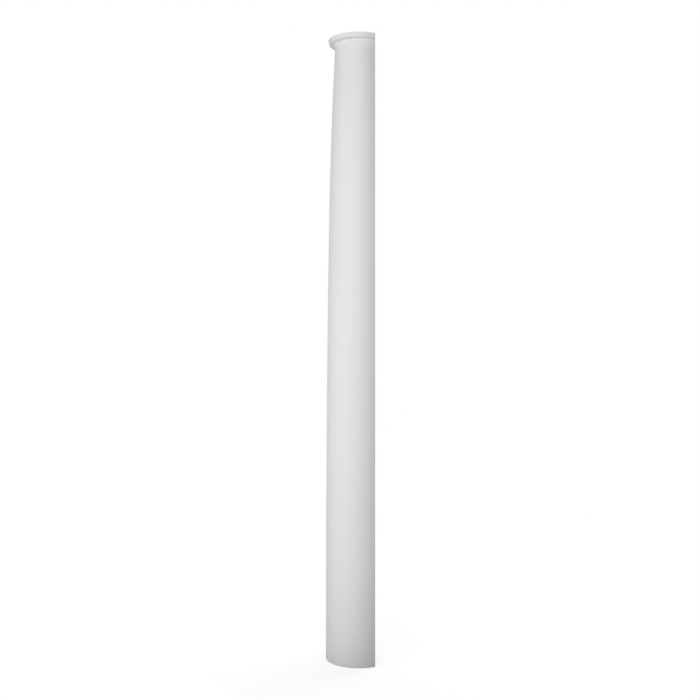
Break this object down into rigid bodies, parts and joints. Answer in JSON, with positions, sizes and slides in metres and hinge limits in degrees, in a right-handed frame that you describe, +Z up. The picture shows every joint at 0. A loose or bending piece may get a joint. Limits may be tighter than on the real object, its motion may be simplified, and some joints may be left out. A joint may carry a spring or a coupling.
{
  "type": "engaged column shaft",
  "caption": "Plain Doric column shaft, three-quarter round with a flat back, tapering with entasis to a neck, small fillet and rounded collar; stands against a wall under a capital",
  "frame": {"origin": "on the column's axis, at the centre of the foot's full circle, on the underside", "axes": "+Z up along the column's axis; the round front faces -Y and the flat back faces +Y; X runs along the wall"},
  "size_m": [0.2548, 0.1913, 2.4],
  "materials": {
    "primed_white": "factory-primed moulded polyurethane, smooth and matte"
  },
  "bodies": {
    "root": {"column_shaft": "primed_white"}
  },
  "joints": []
}
